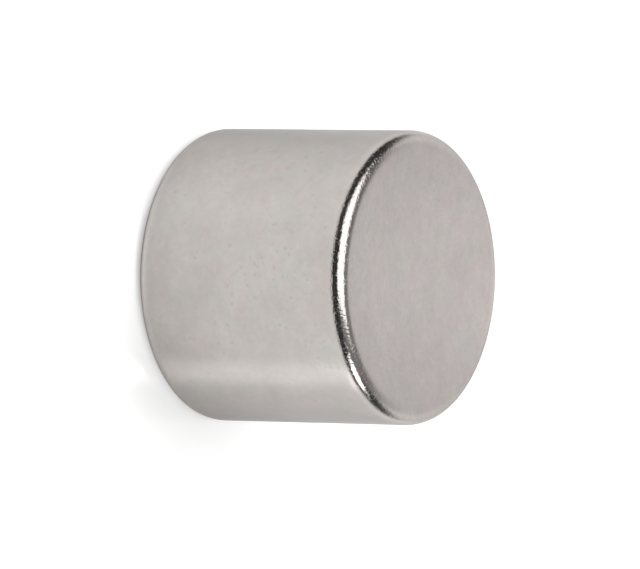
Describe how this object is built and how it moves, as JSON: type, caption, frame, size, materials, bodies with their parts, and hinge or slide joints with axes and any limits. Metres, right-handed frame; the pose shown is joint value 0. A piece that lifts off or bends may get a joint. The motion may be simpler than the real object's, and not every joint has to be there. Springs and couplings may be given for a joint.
{
  "type": "disc magnet",
  "caption": "Solid nickel-plated cylindrical magnet with flat pole faces and softly rounded edges, for holding light things to steel.",
  "frame": {"origin": "centre of the lower pole face, on which the magnet stands", "axes": "+Z along the magnet's axis, from the lower pole face to the upper one; X and Y are any two directions across it"},
  "size_m": [0.012, 0.012, 0.01],
  "materials": {
    "nickel_plate": "satin nickel plating with a fine grain, polished brighter along the tumbled edges"
  },
  "bodies": {
    "root": {"magnet": "nickel_plate"}
  },
  "joints": []
}
